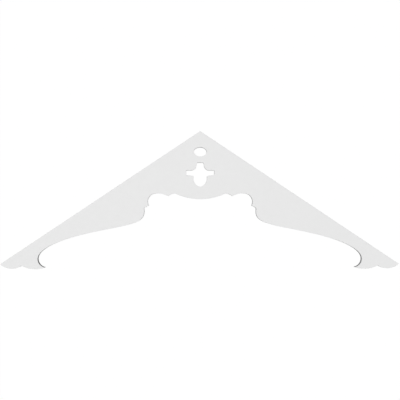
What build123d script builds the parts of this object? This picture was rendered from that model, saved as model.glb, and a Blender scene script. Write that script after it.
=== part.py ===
# Scroll-cut gable pediment: one flat board of cellular PVC, sawn to the roof's pitch
# along its two upper edges and scroll-cut along its lower edge, with an oval and a
# cross pierced through it under the apex.
#
# The board lies flat. X runs along its width, +Y points to the apex and +Z out of the
# finished face. The origin is at the middle of its outline, on the mounting face.

from build123d import *
from math import cos, radians, sin, sqrt
import os

os.makedirs("parts", exist_ok=True)

# Board
board_width = 72 * IN
board_thickness = 1 * IN
pitch_rise = 8
pitch_run = 12
tip_height = 0.875 * IN  # the eave tips, above the base line that the heels touch

# Foot: toe lobe, notch, heel lobe and curl, measured in from the eave tip
toe_depth = 16.4
notch_inset = 97
heel_inset = 160
heel_radius = 138
curl_inset = 204.5
curl_radius = 39
curl_turn = 82  # degrees, from the heel round to the upright start of the sweep

# Openings under the apex, one below the other on the centre line
oval_drop = 74  # from the apex down to the top of the oval
oval_width = 58
oval_height = 42
oval_web = 28.5  # board left between the oval and the cross
neck_width = 34
neck_height = 11
neck_corner = 8
cheek_radius = 25  # rounded shoulder of the board between the neck and an arm
arm_reach = 22.5
arm_end = 20.5
arm_taper = 5
body_width = 62
body_side = 20
point_height = 30  # pointed foot of the cross
point_bulge = 5.5

# Drop under the openings, and the scallops on each side of it
lobe_web = 55.5  # board left between the cross and the bottom of the drop
lobe_width = 231
lobe_depth = 26
inner_cove_run = 32
inner_cove_fall = 12.5
inner_cove_depth = 2.8
bite_radius = 38.5
bite_run = 54.5  # from the inner tooth out to the centre of the bite
bite_fall = 26
bite_start = -27  # degrees, at the outer tooth
bite_end = 83  # degrees, where the flatter crown of the bite begins
outer_cove_run = 21
outer_cove_fall = 13
outer_cove_depth = 1.2

# Sweep from the curl up to the shoulder: one Bezier curve that leaves the curl upright
# and swells past the shoulder. Its inner points are shares of its run and its rise.
curl_pull_share = 0.42
belly_run_share = 0.8
belly_rise_share = 0.714
shoulder_swell_share = 0.03
shoulder_pull_share = 0.437

half_width = board_width / 2
board_height = half_width * pitch_rise / pitch_run + tip_height


def heel_point(inset):
    """Point of the heel lobe, a circle that touches the base line, at an inset."""
    rise = heel_radius - sqrt(heel_radius**2 - (inset - heel_inset) ** 2)
    return Vector(half_width - inset, rise)


def on_circle(centre, radius, angle):
    return centre + Vector(radius * cos(radians(angle)), radius * sin(radians(angle)))


# Corners of the right half of the outline, with the base line at Y = 0
apex = Vector(0, board_height)
eave_tip = Vector(half_width, tip_height)
notch = heel_point(notch_inset)
curl_start = heel_point(curl_inset)
curl_centre = on_circle(curl_start, curl_radius, 180 - curl_turn)
sweep_start = on_circle(curl_centre, curl_radius, 0)

# Levels of the openings, down from the apex
oval_centre = apex - Vector(0, oval_drop + oval_height / 2)
cross_top = apex - Vector(0, oval_drop + oval_height + oval_web)
neck_side = Vector(neck_width / 2, cross_top.Y - neck_height)
cheek_centre = neck_side + Vector(cheek_radius, 0)
cheek_foot = cheek_centre - Vector(0, cheek_radius)
arm_top = cheek_foot + Vector(arm_reach, 0)
arm_bottom = arm_top - Vector(0, arm_end)
body_top = Vector(body_width / 2, arm_bottom.Y - arm_taper)
body_bottom = body_top - Vector(0, body_side)
cross_point = Vector(0, body_bottom.Y - point_height)

# Scallops, outwards from the drop
lobe_bottom = cross_point - Vector(0, lobe_web)
lobe_end = lobe_bottom + Vector(lobe_width / 2, lobe_depth)
inner_tooth = lobe_end + Vector(inner_cove_run, -inner_cove_fall)
bite_centre = inner_tooth + Vector(bite_run, -bite_fall)
outer_tooth = on_circle(bite_centre, bite_radius, bite_start)
shoulder = outer_tooth + Vector(outer_cove_run, -outer_cove_fall)


def sweep_point(run_share, rise_share):
    """Point at shares of the run and the rise from the curl to the shoulder."""
    span = shoulder - sweep_start
    return sweep_start + Vector(run_share * span.X, rise_share * span.Y)


with BuildPart() as pediment_board:
    with BuildSketch(Plane(origin=(0, -board_height / 2, 0))) as face:
        with BuildLine() as outline:
            Line(apex, eave_tip)
            SagittaArc(eave_tip, notch, toe_depth)
            RadiusArc(notch, curl_start, heel_radius)
            CenterArc(curl_centre, curl_radius, -curl_turn, curl_turn)
            Bezier(
                sweep_start,
                sweep_point(0, curl_pull_share),
                sweep_point(belly_run_share, belly_rise_share),
                sweep_point(1 + shoulder_swell_share, 1 - shoulder_pull_share),
                shoulder,
            )
            SagittaArc(shoulder, outer_tooth, -outer_cove_depth)
            bite = CenterArc(bite_centre, bite_radius, bite_start, bite_end - bite_start)
            TangentArc(bite @ 1, inner_tooth, tangent=bite % 1)
            SagittaArc(inner_tooth, lobe_end, -inner_cove_depth)
            mirror(about=Plane.YZ)
            ThreePointArc((-lobe_end.X, lobe_end.Y), lobe_bottom, lobe_end)
        make_face()
        with Locations(oval_centre):
            Ellipse(oval_width / 2, oval_height / 2, mode=Mode.SUBTRACT)
        with BuildLine() as cross:
            neck_end = cross_top + Vector(neck_width / 2 - neck_corner, 0)
            corner = TangentArc(neck_end, neck_end + Vector(neck_corner, -neck_corner), tangent=(1, 0))
            Line(corner @ 1, neck_side)
            TangentArc(neck_side, cheek_foot, tangent=(0, -1))
            Polyline(cheek_foot, arm_top, arm_bottom, body_top, body_bottom)
            SagittaArc(body_bottom, cross_point, point_bulge)
            mirror(about=Plane.YZ)
            Line((-neck_end.X, neck_end.Y), neck_end)
        make_face(mode=Mode.SUBTRACT)
    extrude(amount=board_thickness)

pediment_board.part.label = "pediment_board"
export_step(pediment_board.part, "parts/pediment_board.step")
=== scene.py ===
"""Looks of the scroll-cut gable pediment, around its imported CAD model. Units are metres."""

import math

import bmesh
import bpy
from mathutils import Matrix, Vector
from mathutils.geometry import tessellate_polygon


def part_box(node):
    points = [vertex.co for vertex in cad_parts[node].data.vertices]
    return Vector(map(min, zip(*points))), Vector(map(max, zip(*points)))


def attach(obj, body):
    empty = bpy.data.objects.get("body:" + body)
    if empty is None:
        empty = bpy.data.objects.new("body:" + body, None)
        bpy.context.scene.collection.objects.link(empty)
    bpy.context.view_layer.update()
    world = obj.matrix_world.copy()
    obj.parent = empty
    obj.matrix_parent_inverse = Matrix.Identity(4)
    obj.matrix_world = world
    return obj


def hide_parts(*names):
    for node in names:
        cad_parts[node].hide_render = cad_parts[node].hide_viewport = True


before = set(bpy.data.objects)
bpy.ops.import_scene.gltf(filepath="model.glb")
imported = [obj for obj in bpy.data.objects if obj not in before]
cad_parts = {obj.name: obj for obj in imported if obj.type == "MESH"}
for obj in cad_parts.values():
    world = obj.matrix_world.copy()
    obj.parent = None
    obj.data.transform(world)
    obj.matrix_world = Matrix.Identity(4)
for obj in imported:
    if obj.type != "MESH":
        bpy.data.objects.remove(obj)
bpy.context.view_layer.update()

NODE = "pediment_board"
BOARD_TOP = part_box(NODE)[1][2]

# Camera: a long lens above the board, a little to the left of its centre line
CAMERA_X = -0.085
CAMERA_Y = 0.012
CAMERA_RISE = 3.6  # above the finished face
AIM_X = -0.0009  # the place on the board that the picture is centred on
SENSOR = 36.0
LENS = 70.69
SHIFT_X = 0.017


def make_camera():
    data = bpy.data.cameras.new("camera")
    data.sensor_width = SENSOR
    data.lens = LENS
    data.shift_x = SHIFT_X
    camera = bpy.data.objects.new("camera", data)
    bpy.context.scene.collection.objects.link(camera)
    camera.location = (CAMERA_X, CAMERA_Y, BOARD_TOP + CAMERA_RISE)
    # the shift takes part of the sideways angle to the aim, and a small turn takes the rest
    sideways = math.atan((AIM_X - CAMERA_X) / CAMERA_RISE) - math.atan(SHIFT_X * SENSOR / LENS)
    lengthways = math.atan(CAMERA_Y / CAMERA_RISE)
    camera.rotation_euler = (-lengthways, -sideways, 0.0)
    bpy.context.scene.camera = camera


make_camera()

# Light: one soft source high on the upper left, and a little light from all round
SUN_STRENGTH = 2.825
SUN_ANGLE = 12.0
SUN_LEAN = 10.0  # degrees from upright
SUN_AZIMUTH = 150.0  # degrees from +X towards +Y
AMBIENT = 0.07
FLOOR_HALF = 12.0
FLOOR_DROP = 0.0005  # below the mounting face
FLOOR_BOUNCE = 0.18  # what the board receives of the floor
FLOOR_GLOW = 0.975  # what the camera sees of it in shade
FLOOR_SHADED = 0.03  # and how much more where the light falls


def grey(level):
    return (level, level, level, 1.0)


def seen_share(tree):
    """Output that is 1 for camera, glossy and transmission rays, and 0 for the rest."""
    path = tree.nodes.new("ShaderNodeLightPath")
    first = tree.nodes.new("ShaderNodeMath")
    first.operation = "MAXIMUM"
    second = tree.nodes.new("ShaderNodeMath")
    second.operation = "MAXIMUM"
    tree.links.new(path.outputs["Is Camera Ray"], first.inputs[0])
    tree.links.new(path.outputs["Is Glossy Ray"], first.inputs[1])
    tree.links.new(first.outputs["Value"], second.inputs[0])
    tree.links.new(path.outputs["Is Transmission Ray"], second.inputs[1])
    return second.outputs["Value"]


def make_sun():
    data = bpy.data.lights.new("key", "SUN")
    data.energy = SUN_STRENGTH
    data.angle = math.radians(SUN_ANGLE)
    key = bpy.data.objects.new("key", data)
    bpy.context.scene.collection.objects.link(key)
    key.rotation_euler = (0.0, math.radians(SUN_LEAN), math.radians(SUN_AZIMUTH))


def make_world():
    world = bpy.data.worlds.new("studio")
    world.use_nodes = True
    tree = world.node_tree
    tree.nodes.clear()
    ambient = tree.nodes.new("ShaderNodeBackground")
    ambient.inputs["Color"].default_value = grey(1.0)
    ambient.inputs["Strength"].default_value = AMBIENT
    seen = tree.nodes.new("ShaderNodeBackground")
    seen.inputs["Color"].default_value = grey(1.0)
    seen.inputs["Strength"].default_value = 1.0
    mix = tree.nodes.new("ShaderNodeMixShader")
    out = tree.nodes.new("ShaderNodeOutputWorld")
    tree.links.new(seen_share(tree), mix.inputs["Fac"])
    tree.links.new(ambient.outputs["Background"], mix.inputs[1])
    tree.links.new(seen.outputs["Background"], mix.inputs[2])
    tree.links.new(mix.outputs["Shader"], out.inputs["Surface"])
    bpy.context.scene.world = world


def make_floor():
    mesh = bpy.data.meshes.new("floor")
    signs = ((-1, -1), (1, -1), (1, 1), (-1, 1))
    mesh.from_pydata([(x * FLOOR_HALF, y * FLOOR_HALF, 0.0) for x, y in signs], [], [(0, 1, 2, 3)])
    floor = bpy.data.objects.new("floor", mesh)
    bpy.context.scene.collection.objects.link(floor)
    floor.location.z = -FLOOR_DROP
    material = bpy.data.materials.new("floor_paint")
    material.use_nodes = True
    tree = material.node_tree
    tree.nodes.clear()
    plain = tree.nodes.new("ShaderNodeBsdfDiffuse")
    plain.inputs["Color"].default_value = grey(FLOOR_BOUNCE)
    shaded = tree.nodes.new("ShaderNodeBsdfDiffuse")
    shaded.inputs["Color"].default_value = grey(FLOOR_SHADED)
    glow = tree.nodes.new("ShaderNodeEmission")
    glow.inputs["Color"].default_value = grey(1.0)
    glow.inputs["Strength"].default_value = FLOOR_GLOW
    add = tree.nodes.new("ShaderNodeAddShader")
    mix = tree.nodes.new("ShaderNodeMixShader")
    out = tree.nodes.new("ShaderNodeOutputMaterial")
    tree.links.new(shaded.outputs["BSDF"], add.inputs[0])
    tree.links.new(glow.outputs["Emission"], add.inputs[1])
    tree.links.new(seen_share(tree), mix.inputs["Fac"])
    tree.links.new(plain.outputs["BSDF"], mix.inputs[1])
    tree.links.new(add.outputs["Shader"], mix.inputs[2])
    tree.links.new(mix.outputs["Shader"], out.inputs["Surface"])
    mesh.materials.append(material)


make_sun()
make_world()
make_floor()

# Board, with the sizes of its CAD source
HALF_WIDTH = 0.9144
THICKNESS = 0.0254
PITCH = 8 / 12
TIP_HEIGHT = 0.022225
BOARD_HEIGHT = HALF_WIDTH * PITCH + TIP_HEIGHT

TOE_DEPTH = 0.0164
NOTCH_INSET = 0.097
HEEL_INSET = 0.160
HEEL_RADIUS = 0.138
CURL_INSET = 0.2045
CURL_RADIUS = 0.039
CURL_TURN = 82.0

OVAL_DROP = 0.074
OVAL_WIDTH = 0.058
OVAL_HEIGHT = 0.042
OVAL_WEB = 0.0285
NECK_WIDTH = 0.034
NECK_HEIGHT = 0.011
NECK_CORNER = 0.008
CHEEK_RADIUS = 0.025
ARM_REACH = 0.0225
ARM_END = 0.0205
ARM_TAPER = 0.005
BODY_WIDTH = 0.062
BODY_SIDE = 0.020
POINT_HEIGHT = 0.030
POINT_BULGE = 0.0055

LOBE_WEB = 0.0555
LOBE_WIDTH = 0.231
LOBE_DEPTH = 0.026
INNER_COVE_RUN = 0.032
INNER_COVE_FALL = 0.0125
INNER_COVE_DEPTH = 0.0028
BITE_RADIUS = 0.0385
BITE_RUN = 0.0545
BITE_FALL = 0.026
BITE_START = -27.0
BITE_END = 83.0
OUTER_COVE_RUN = 0.021
OUTER_COVE_FALL = 0.013
OUTER_COVE_DEPTH = 0.0012

CURL_PULL_SHARE = 0.42
BELLY_RUN_SHARE = 0.8
BELLY_RISE_SHARE = 0.714
SHOULDER_SWELL_SHARE = 0.03
SHOULDER_PULL_SHARE = 0.437

# Only here: how finely the curves are divided, and the worn arris along every cut
ARC_STEP = 3.0  # degrees
SWEEP_STEPS = 96
OVAL_STEPS = 96
ARRIS = 0.0007
ARRIS_STEPS = 3
CORNER_ANGLE = 12.0  # a sharper turn than this, in degrees, is a corner


def on_circle(centre, radius, angle):
    return centre + radius * Vector((math.cos(math.radians(angle)), math.sin(math.radians(angle))))


def arc(centre, radius, start, end):
    """Points of an arc between two angles in degrees, without the last one."""
    count = max(2, math.ceil(abs(end - start) / ARC_STEP))
    return [on_circle(centre, radius, start + (end - start) * i / count) for i in range(count)]


def bow(start, end, sagitta):
    """Points of the arc over a chord, without the last one. A positive sagitta is on the left."""
    chord = end - start
    half = chord.length / 2
    left = Vector((-chord.y, chord.x)).normalized()
    centre = (start + end) / 2 + left * (sagitta - (half**2 + sagitta**2) / (2 * sagitta))
    spoke = start - centre
    first = math.degrees(math.atan2(spoke.y, spoke.x))
    turn = -4 * math.degrees(math.atan(sagitta / half))
    return arc(centre, spoke.length, first, first + turn)


def bezier(points, count):
    """Points of a Bezier curve, without the last one."""
    found = []
    for i in range(count):
        row = list(points)
        while len(row) > 1:
            row = [a.lerp(b, i / count) for a, b in zip(row, row[1:])]
        found.append(row[0])
    return found


def mirrored(points):
    """The points on the other side of the centre line, in the opposite order."""
    return [Vector((-p.x, p.y)) for p in reversed(points)]


def heel_point(inset):
    rise = HEEL_RADIUS - math.sqrt(HEEL_RADIUS**2 - (inset - HEEL_INSET) ** 2)
    return Vector((HALF_WIDTH - inset, rise))


apex = Vector((0.0, BOARD_HEIGHT))
oval_centre = apex - Vector((0.0, OVAL_DROP + OVAL_HEIGHT / 2))
cross_top = apex - Vector((0.0, OVAL_DROP + OVAL_HEIGHT + OVAL_WEB))
neck_side = Vector((NECK_WIDTH / 2, cross_top.y - NECK_HEIGHT))
cheek_foot = neck_side + Vector((CHEEK_RADIUS, -CHEEK_RADIUS))
arm_top = cheek_foot + Vector((ARM_REACH, 0.0))
arm_bottom = arm_top - Vector((0.0, ARM_END))
body_top = Vector((BODY_WIDTH / 2, arm_bottom.y - ARM_TAPER))
body_bottom = body_top - Vector((0.0, BODY_SIDE))
cross_point = Vector((0.0, body_bottom.y - POINT_HEIGHT))


def board_edge():
    """The outer edge, against the clock."""
    eave_tip = Vector((HALF_WIDTH, TIP_HEIGHT))
    notch = heel_point(NOTCH_INSET)
    curl_start = heel_point(CURL_INSET)
    curl_centre = on_circle(curl_start, CURL_RADIUS, 180 - CURL_TURN)
    sweep_start = on_circle(curl_centre, CURL_RADIUS, 0)
    lobe_end = cross_point + Vector((LOBE_WIDTH / 2, LOBE_DEPTH - LOBE_WEB))
    inner_tooth = lobe_end + Vector((INNER_COVE_RUN, -INNER_COVE_FALL))
    bite_centre = inner_tooth + Vector((BITE_RUN, -BITE_FALL))
    outer_tooth = on_circle(bite_centre, BITE_RADIUS, BITE_START)
    bite_crown = on_circle(bite_centre, BITE_RADIUS, BITE_END)
    shoulder = outer_tooth + Vector((OUTER_COVE_RUN, -OUTER_COVE_FALL))
    span = shoulder - sweep_start

    def sweep_point(run_share, rise_share):
        return sweep_start + Vector((run_share * span.x, rise_share * span.y))

    heel_centre = Vector((HALF_WIDTH - HEEL_INSET, HEEL_RADIUS))
    heel_first = -90 + math.degrees(math.asin((HEEL_INSET - NOTCH_INSET) / HEEL_RADIUS))
    heel_last = -90 - math.degrees(math.asin((CURL_INSET - HEEL_INSET) / HEEL_RADIUS))
    # the flatter crown leaves the bite along its tangent
    crown = inner_tooth - bite_crown
    crown_turn = math.atan2(crown.y, crown.x) - math.radians(BITE_END + 90)
    crown_sagitta = -crown.length / 2 * math.tan(crown_turn / 2)

    right = [apex]
    right += bow(eave_tip, notch, TOE_DEPTH)
    right += arc(heel_centre, HEEL_RADIUS, heel_first, heel_last)
    right += arc(curl_centre, CURL_RADIUS, -CURL_TURN, 0)
    right += bezier(
        [
            sweep_start,
            sweep_point(0, CURL_PULL_SHARE),
            sweep_point(BELLY_RUN_SHARE, BELLY_RISE_SHARE),
            sweep_point(1 + SHOULDER_SWELL_SHARE, 1 - SHOULDER_PULL_SHARE),
            shoulder,
        ],
        SWEEP_STEPS,
    )
    right += bow(shoulder, outer_tooth, -OUTER_COVE_DEPTH)
    right += arc(bite_centre, BITE_RADIUS, BITE_START, BITE_END)
    right += bow(bite_crown, inner_tooth, crown_sagitta)
    right += bow(inner_tooth, lobe_end, -INNER_COVE_DEPTH)
    lobe = bow(lobe_end, Vector((-lobe_end.x, lobe_end.y)), LOBE_DEPTH)
    left = mirrored(right[1:] + [lobe_end])
    return list(reversed(right + lobe + left))


def cross_edge():
    """The edge of the cross, with the clock."""
    neck_end = Vector((NECK_WIDTH / 2 - NECK_CORNER, cross_top.y))
    right = arc(neck_end - Vector((0.0, NECK_CORNER)), NECK_CORNER, 90, 0)
    right += [neck_end + Vector((NECK_CORNER, -NECK_CORNER))]
    right += arc(neck_side + Vector((CHEEK_RADIUS, 0.0)), CHEEK_RADIUS, 180, 270)
    right += [cheek_foot, arm_top, arm_bottom, body_top]
    right += bow(body_bottom, cross_point, POINT_BULGE)
    return right + [cross_point] + mirrored(right)


def oval_edge():
    """The edge of the oval, with the clock."""
    angles = [-math.tau * i / OVAL_STEPS for i in range(OVAL_STEPS)]
    radii = (OVAL_WIDTH / 2, OVAL_HEIGHT / 2)
    return [oval_centre + Vector((radii[0] * math.cos(a), radii[1] * math.sin(a))) for a in angles]


def corner_normals(loop, i):
    """The sideways directions into the board of the two edges that meet at a point."""
    before = (loop[i] - loop[i - 1]).normalized()
    after = (loop[(i + 1) % len(loop)] - loop[i]).normalized()
    return Vector((-before.y, before.x)), Vector((-after.y, after.x))


def inset(loop, distance):
    """The loop moved into the board, with mitred corners."""
    moved = []
    for i, point in enumerate(loop):
        first, second = corner_normals(loop, i)
        moved.append(point + (first + second) * distance / (1 + first.dot(second)))
    return moved


def edge_profile():
    """Inset and height of each ring of a cut edge, from the back face to the finished face."""
    angles = [math.pi / 2 * i / ARRIS_STEPS for i in range(ARRIS_STEPS + 1)]
    lower = [(ARRIS * (1 - math.sin(a)), ARRIS * (1 - math.cos(a))) for a in angles]
    return lower + [(depth, THICKNESS - height) for depth, height in reversed(lower)]


FACE, CUT = 0, 1


def add_cut(bm, loop):
    """The wall of one cut with its two arrises. Gives its lowest and highest rings."""
    middle = BOARD_HEIGHT / 2
    rings = []
    for depth, height in edge_profile():
        rings.append([bm.verts.new((p.x, p.y - middle, height)) for p in inset(loop, depth)])
    for low, high in zip(rings, rings[1:]):
        for i in range(len(loop)):
            face = bm.faces.new((low[i - 1], low[i], high[i], high[i - 1]))
            face.material_index = CUT
            face.smooth = True
    for i in range(len(loop)):
        first, second = corner_normals(loop, i)
        if first.angle(second) > math.radians(CORNER_ANGLE):
            for low, high in zip(rings, rings[1:]):
                bm.edges.get((low[i], high[i])).smooth = False
    return rings[0], rings[-1]


def add_face(bm, rings, upward):
    """A flat face between the ring of the outer edge and those of the openings."""
    verts = [vert for ring in rings for vert in ring]
    for corners in tessellate_polygon([[vert.co for vert in ring] for ring in rings]):
        face = bm.faces.new([verts[i] for i in corners])
        face.material_index = FACE
        face.normal_update()
        if (face.normal.z > 0) != upward:
            face.normal_flip()


def make_board():
    bm = bmesh.new()
    ends = [add_cut(bm, loop) for loop in (board_edge(), cross_edge(), oval_edge())]
    add_face(bm, [low for low, high in ends], False)
    add_face(bm, [high for low, high in ends], True)
    mesh = bpy.data.meshes.new("board")
    bm.to_mesh(mesh)
    bm.free()
    board = bpy.data.objects.new("board", mesh)
    bpy.context.scene.collection.objects.link(board)
    return board


# Cellular PVC: a satin skin on the two faces, and bare foam where it is cut. A scale is
# the number of features in a metre.
SKIN_TONES = (0.807, 0.813)
SKIN_ROUGHNESS = (0.58, 0.66)
SKIN_GLOSS = 0.3
CLOUD_SCALE = 7.0
SHEEN_SCALE = 45.0
PEEL_SCALE = 650.0
PEEL_STRENGTH = 0.08
PEEL_DEPTH = 0.0004
# painted shade: the foam's tones lie well below the skin's white, darkening the cut walls; the spread
# between them is the pores and chatter
FOAM_TONES_AND_SHADE = (0.60, 0.80)
FOAM_ROUGHNESS = (0.72, 0.85)
FOAM_GLOSS = 0.1
SCUFF_SCALE = 300.0
PORE_SCALE = 1400.0
PORE_STRENGTH = 0.3
PORE_DEPTH = 0.0002
CHATTER_SCALE = 160.0
CHATTER_SQUEEZE = 0.02  # of the height, so that the marks stand upright
CHATTER_STRENGTH = 0.35
CHATTER_DEPTH = 0.0004
MARKS_RANGE = (0.7, 1.2)  # where most of the chatter and the pores lie when added
NOISE_RANGE = (0.3, 0.7)  # where nearly all of a noise lies


def new_material(name):
    material = bpy.data.materials.new(name)
    material.use_nodes = True
    tree = material.node_tree
    place = tree.nodes.new("ShaderNodeTexCoord").outputs["Object"]
    return material, tree, tree.nodes["Principled BSDF"], place


def noise(tree, place, scale, detail=2.0, roughness=0.5):
    node = tree.nodes.new("ShaderNodeTexNoise")
    node.inputs["Scale"].default_value = scale
    node.inputs["Detail"].default_value = detail
    node.inputs["Roughness"].default_value = roughness
    tree.links.new(place, node.inputs["Vector"])
    return node.outputs["Fac"]


def spread(tree, value, source, limits):
    """The value, spread from its own range to two limits."""
    node = tree.nodes.new("ShaderNodeMapRange")
    node.inputs["From Min"].default_value, node.inputs["From Max"].default_value = source
    node.inputs["To Min"].default_value, node.inputs["To Max"].default_value = limits
    tree.links.new(value, node.inputs["Value"])
    return node.outputs["Result"]


def bumped(tree, height, strength, depth, normal=None):
    node = tree.nodes.new("ShaderNodeBump")
    node.inputs["Strength"].default_value = strength
    node.inputs["Distance"].default_value = depth
    tree.links.new(height, node.inputs["Height"])
    if normal is not None:
        tree.links.new(normal, node.inputs["Normal"])
    return node.outputs["Normal"]


def skin_material():
    """Calendered skin: faint clouds in tone and gloss, and a very fine orange peel."""
    material, tree, shader, place = new_material("pvc_skin")
    clouds = noise(tree, place, CLOUD_SCALE, detail=4.0)
    tone = spread(tree, clouds, NOISE_RANGE, SKIN_TONES)
    tree.links.new(tone, shader.inputs["Base Color"])
    sheen = spread(tree, noise(tree, place, SHEEN_SCALE), NOISE_RANGE, SKIN_ROUGHNESS)
    tree.links.new(sheen, shader.inputs["Roughness"])
    peel = noise(tree, place, PEEL_SCALE, detail=3.0)
    tree.links.new(bumped(tree, peel, PEEL_STRENGTH, PEEL_DEPTH), shader.inputs["Normal"])
    shader.inputs["Specular IOR Level"].default_value = SKIN_GLOSS
    return material


def foam_material():
    """Cut foam: duller, with closed pores and the cutter's fine upright chatter in tone and relief.
    Its tone also sits below the skin's, which paints shade onto the cut walls.
    """
    material, tree, shader, place = new_material("pvc_foam")
    pores = tree.nodes.new("ShaderNodeTexVoronoi")
    pores.inputs["Scale"].default_value = PORE_SCALE
    tree.links.new(place, pores.inputs["Vector"])
    upright = tree.nodes.new("ShaderNodeMapping")
    upright.inputs["Scale"].default_value = (1.0, 1.0, CHATTER_SQUEEZE)
    tree.links.new(place, upright.inputs["Vector"])
    chatter = noise(tree, upright.outputs["Vector"], CHATTER_SCALE, detail=4.0, roughness=0.6)
    marks = tree.nodes.new("ShaderNodeMath")
    marks.operation = "ADD"
    tree.links.new(chatter, marks.inputs[0])
    tree.links.new(pores.outputs["Distance"], marks.inputs[1])
    # the pore and chatter marks, on a tone darkened as painted shade
    tone = spread(tree, marks.outputs["Value"], MARKS_RANGE, FOAM_TONES_AND_SHADE)
    tree.links.new(tone, shader.inputs["Base Color"])
    scuffs = spread(tree, noise(tree, place, SCUFF_SCALE), NOISE_RANGE, FOAM_ROUGHNESS)
    tree.links.new(scuffs, shader.inputs["Roughness"])
    scraped = bumped(tree, chatter, CHATTER_STRENGTH, CHATTER_DEPTH)
    pitted = bumped(tree, pores.outputs["Distance"], PORE_STRENGTH, PORE_DEPTH, scraped)
    tree.links.new(pitted, shader.inputs["Normal"])
    shader.inputs["Specular IOR Level"].default_value = FOAM_GLOSS
    return material


board = make_board()
board.data.materials.append(skin_material())
board.data.materials.append(foam_material())
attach(board, "root")
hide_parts(NODE)

bpy.context.scene.view_settings.view_transform = "Standard"
